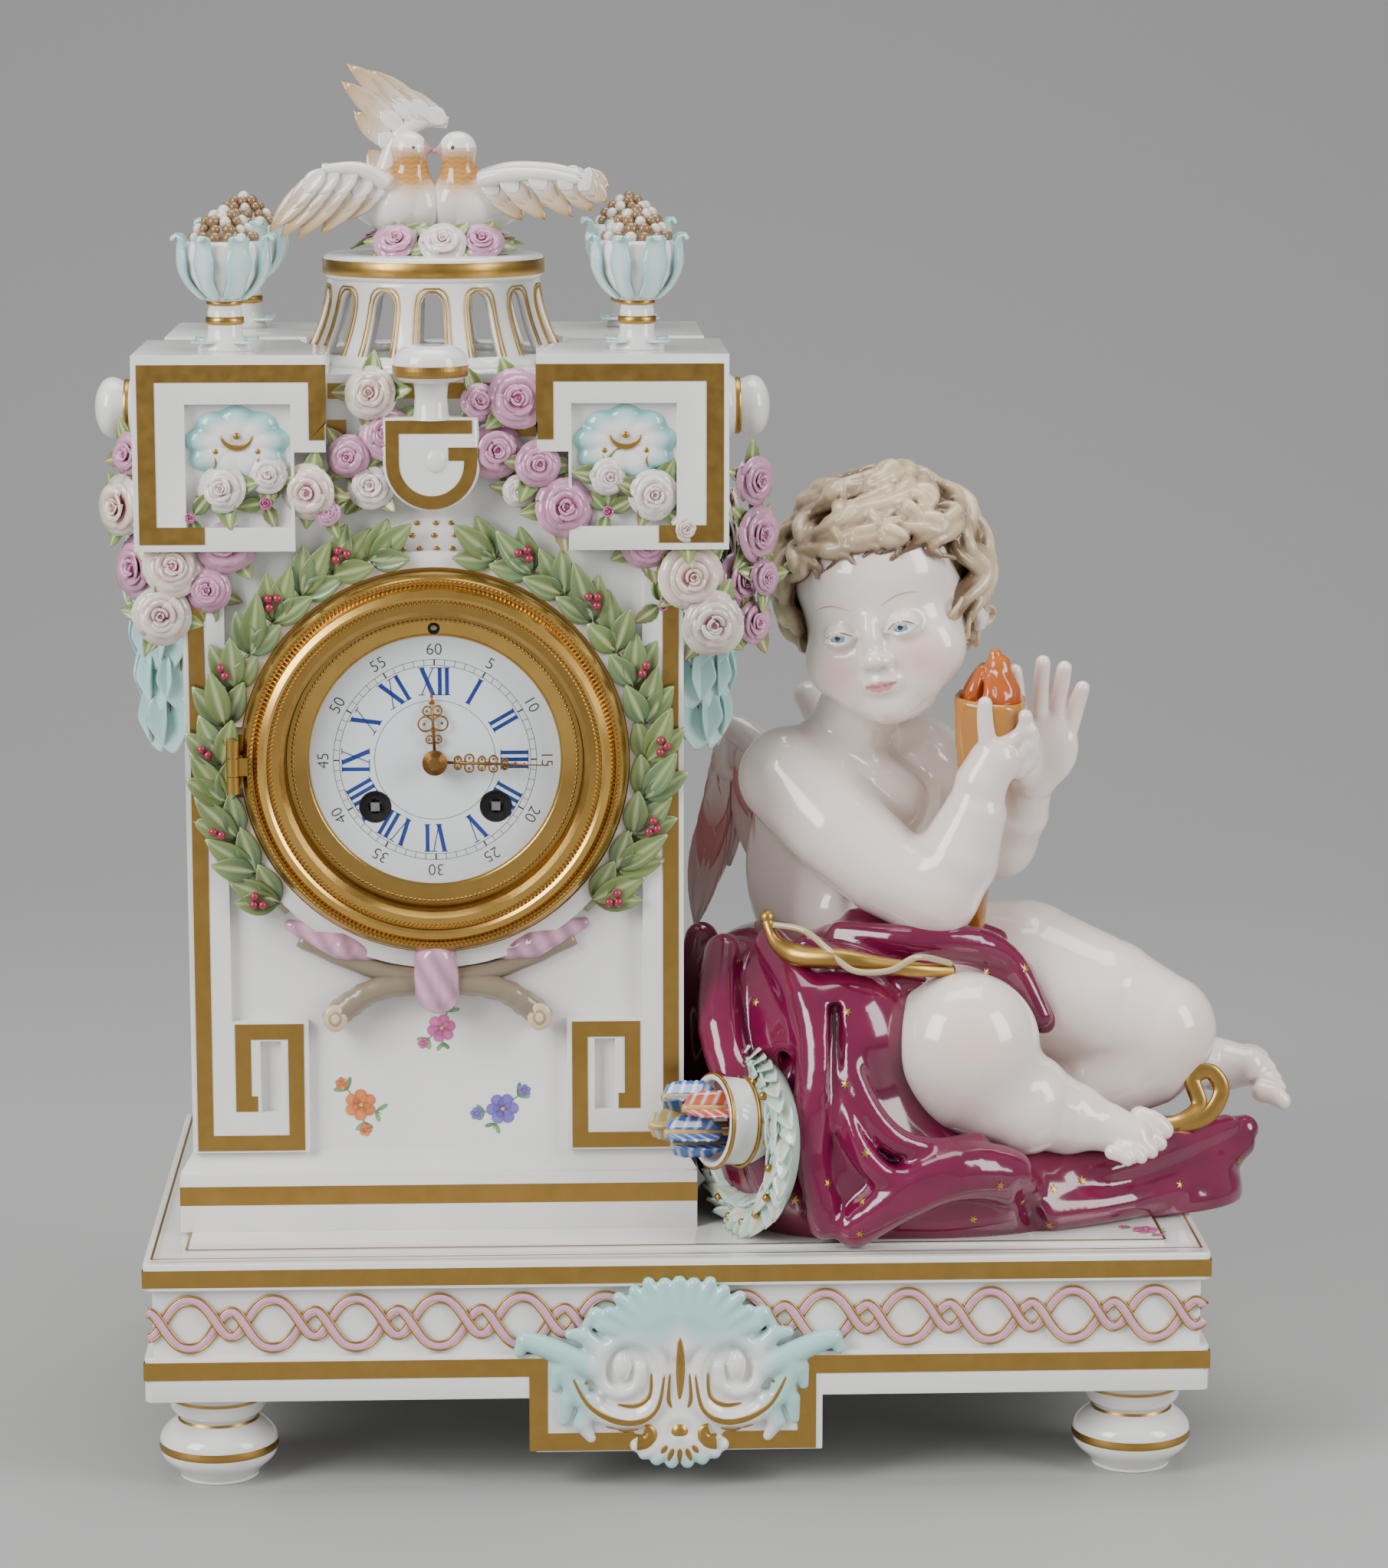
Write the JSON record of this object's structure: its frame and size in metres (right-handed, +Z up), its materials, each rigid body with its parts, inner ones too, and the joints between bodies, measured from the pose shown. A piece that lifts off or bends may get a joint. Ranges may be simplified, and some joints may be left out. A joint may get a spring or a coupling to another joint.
{
  "type": "figural mantel clock",
  "caption": "Porcelain mantel clock with a seated winged child beside a square case, doves on a pierced dome, rose garlands and a round striking movement behind a glazed bezel.",
  "frame": {"origin": "centre of the bounding box's footprint, on the floor under the feet", "axes": "+Z up, -Y towards the viewer of the dial, +X to the viewer's right, where the child sits"},
  "size_m": [0.417, 0.21, 0.4763],
  "materials": {
    "white_porcelain": "glossy white glaze with burnished gold bands",
    "pink_gilt_porcelain": "raised pink ribbon edged in gold on a glossy glaze",
    "aqua_porcelain": "pale aqua glaze with gold veins",
    "rose_porcelain": "hand made pink and cream roses with green leaves, glossy",
    "leaf_porcelain": "green leaves with dark red berries and brown stems, glossy",
    "ribbon_porcelain": "pink glazed ribbon",
    "dove_porcelain": "white glaze with ochre and brown painted plumage",
    "flesh_porcelain": "glossy pale flesh glaze with a soft blush",
    "hair_porcelain": "blond glaze with brown shading",
    "wing_porcelain": "pink feathers with white tips",
    "crimson_porcelain": "deep crimson glaze with small gold stars",
    "gilt_porcelain": "gilded and amber glaze",
    "arrow_porcelain": "painted blue, red and gold feathers",
    "gilt_brass": "gilt brass with beaded and engine turned rings",
    "yellow_brass": "plain lacquered brass",
    "white_enamel": "white enamel with blue and black numerals",
    "clear_glass": "clear domed glass",
    "polished_steel": "polished steel",
    "bell_bronze": "turned bell metal, bright",
    "gilt_bronze_hands": "pierced and gilt bronze, darkened"
  },
  "bodies": {
    "clock_case": {"plinth": "white_porcelain", "bun_feet": "white_porcelain", "plinth_cartouche": "aqua_porcelain", "guilloche_relief": "pink_gilt_porcelain", "case_body": "white_porcelain", "shell_paterae": "aqua_porcelain", "pierced_dome": "white_porcelain", "dome_flower_mound": "rose_porcelain", "dove_left": "dove_porcelain", "dove_right": "dove_porcelain", "urn_finials": "aqua_porcelain", "side_volutes": "white_porcelain", "husk_pendants": "aqua_porcelain", "keystone_bracket": "white_porcelain", "garland_roses": "rose_porcelain", "laurel_wreath": "leaf_porcelain", "ribbon_tie": "ribbon_porcelain", "bezel_flange": "gilt_brass", "dial_surround": "gilt_brass", "dial": "white_enamel", "front_plate": "yellow_brass", "back_plate": "yellow_brass", "plate_pillars": "yellow_brass", "suspension_cock": "yellow_brass", "bell": "bell_bronze", "bell_stand": "polished_steel", "case_straps": "yellow_brass", "back_ring": "yellow_brass", "figure_body": "flesh_porcelain", "figure_hair": "hair_porcelain", "figure_wings": "wing_porcelain", "drape": "crimson_porcelain", "torch": "gilt_porcelain", "bow": "gilt_porcelain", "quiver": "white_porcelain", "arrows": "arrow_porcelain", "quiver_wreath": "aqua_porcelain"},
    "bezel_door_body": {"bezel_door": "gilt_brass", "bezel_glass": "clear_glass", "bezel_hinge_pin": "polished_steel"},
    "back_door_body": {"back_door": "yellow_brass"},
    "minute_body": {"centre_wheel": "yellow_brass", "minute_hand": "gilt_bronze_hands", "hand_nut": "gilt_bronze_hands"},
    "hour_body": {"hour_hand": "gilt_bronze_hands", "hour_wheel": "yellow_brass"},
    "minute_wheel_body": {"minute_wheel": "yellow_brass"},
    "intermediate_body": {"intermediate_wheel": "yellow_brass"},
    "going_barrel_body": {"going_barrel": "yellow_brass"},
    "third_body": {"third_wheel": "yellow_brass"},
    "escape_body": {"escape_wheel": "yellow_brass"},
    "going_arbor_body": {"going_winding_arbor": "polished_steel"},
    "strike_arbor_body": {"strike_winding_arbor": "polished_steel"},
    "strike_barrel_body": {"strike_barrel": "yellow_brass"},
    "pin_wheel_body": {"strike_pin_wheel": "yellow_brass"},
    "fly_body": {"strike_fly": "polished_steel"},
    "pallets_body": {"pallets_crutch": "polished_steel"},
    "pendulum_body": {"pendulum": "yellow_brass"},
    "regulator_body": {"regulator_arbor": "polished_steel"},
    "hammer_body": {"strike_hammer": "polished_steel"}
  },
  "joints": [
    {"name": "bezel_swing", "type": "hinge", "parent": "clock_case", "child": "bezel_door_body", "pos_m": [-0.16058, -0.0715, 0.245], "axis": [0, 0, -1], "range_deg": [0, 95]},
    {"name": "back_door_swing", "type": "hinge", "parent": "clock_case", "child": "back_door_body", "pos_m": [-0.14788, 0.0905, 0.245], "axis": [0, 0, 1], "range_deg": [0, 100]},
    {"name": "minute_spin", "type": "hinge", "parent": "clock_case", "child": "minute_body", "pos_m": [-0.09318, 0, 0.245], "axis": [0, 1, 0], "continuous": true},
    {"name": "hour_spin", "type": "hinge", "parent": "clock_case", "child": "hour_body", "pos_m": [-0.09318, 0, 0.245], "axis": [0, 1, 0], "continuous": true},
    {"name": "minute_wheel_spin", "type": "hinge", "parent": "clock_case", "child": "minute_wheel_body", "pos_m": [-0.09318, 0, 0.233], "axis": [0, 1, 0], "continuous": true},
    {"name": "intermediate_spin", "type": "hinge", "parent": "clock_case", "child": "intermediate_body", "pos_m": [-0.07657, 0, 0.25051], "axis": [0, 1, 0], "continuous": true},
    {"name": "going_barrel_spin", "type": "hinge", "parent": "clock_case", "child": "going_barrel_body", "pos_m": [-0.07278, 0, 0.229], "axis": [0, 1, 0], "continuous": true},
    {"name": "third_spin", "type": "hinge", "parent": "clock_case", "child": "third_body", "pos_m": [-0.10611, 0, 0.25474], "axis": [0, 1, 0], "continuous": true},
    {"name": "escape_spin", "type": "hinge", "parent": "clock_case", "child": "escape_body", "pos_m": [-0.09318, 0, 0.26295], "axis": [0, 1, 0], "continuous": true},
    {"name": "going_winding", "type": "hinge", "parent": "clock_case", "child": "going_arbor_body", "pos_m": [-0.07278, 0, 0.229], "axis": [0, 1, 0], "range_deg": [0, 1980]},
    {"name": "strike_winding", "type": "hinge", "parent": "clock_case", "child": "strike_arbor_body", "pos_m": [-0.11358, 0, 0.229], "axis": [0, 1, 0], "range_deg": [0, 1980]},
    {"name": "strike_barrel_spin", "type": "hinge", "parent": "clock_case", "child": "strike_barrel_body", "pos_m": [-0.11358, 0, 0.229], "axis": [0, 1, 0], "continuous": true},
    {"name": "pin_wheel_spin", "type": "hinge", "parent": "clock_case", "child": "pin_wheel_body", "pos_m": [-0.12672, 0, 0.24644], "axis": [0, 1, 0], "continuous": true},
    {"name": "fly_spin", "type": "hinge", "parent": "clock_case", "child": "fly_body", "pos_m": [-0.13149, 0, 0.2558], "axis": [0, 1, 0], "continuous": true},
    {"name": "pendulum_swing", "type": "hinge", "parent": "clock_case", "child": "pendulum_body", "pos_m": [-0.09318, 0, 0.27425], "axis": [0, 1, 0], "range_deg": [-4, 4]},
    {"name": "pallets_rock", "type": "hinge", "parent": "clock_case", "child": "pallets_body", "pos_m": [-0.09318, 0, 0.27425], "axis": [0, 1, 0], "range_deg": [-4, 4]},
    {"name": "regulator_turn", "type": "hinge", "parent": "clock_case", "child": "regulator_body", "pos_m": [-0.09318, 0, 0.29], "axis": [0, 1, 0], "range_deg": [-360, 360]},
    {"name": "hammer_lift", "type": "hinge", "parent": "clock_case", "child": "hammer_body", "pos_m": [-0.12318, 0, 0.267], "axis": [0, 1, 0], "range_deg": [0, 8]}
  ],
  "couplings": [
    {"joint": "hour_spin", "follows": "minute_spin", "ratio": 0.083333},
    {"joint": "minute_wheel_spin", "follows": "minute_spin", "ratio": -0.33333},
    {"joint": "intermediate_spin", "follows": "minute_spin", "ratio": -0.16667},
    {"joint": "going_barrel_spin", "follows": "minute_spin", "ratio": 0.027778},
    {"joint": "third_spin", "follows": "minute_spin", "ratio": -12},
    {"joint": "escape_spin", "follows": "minute_spin", "ratio": 120},
    {"joint": "pin_wheel_spin", "follows": "strike_barrel_spin", "ratio": -6},
    {"joint": "fly_spin", "follows": "strike_barrel_spin", "ratio": 36},
    {"joint": "pallets_rock", "follows": "pendulum_swing", "ratio": 1}
  ]
}
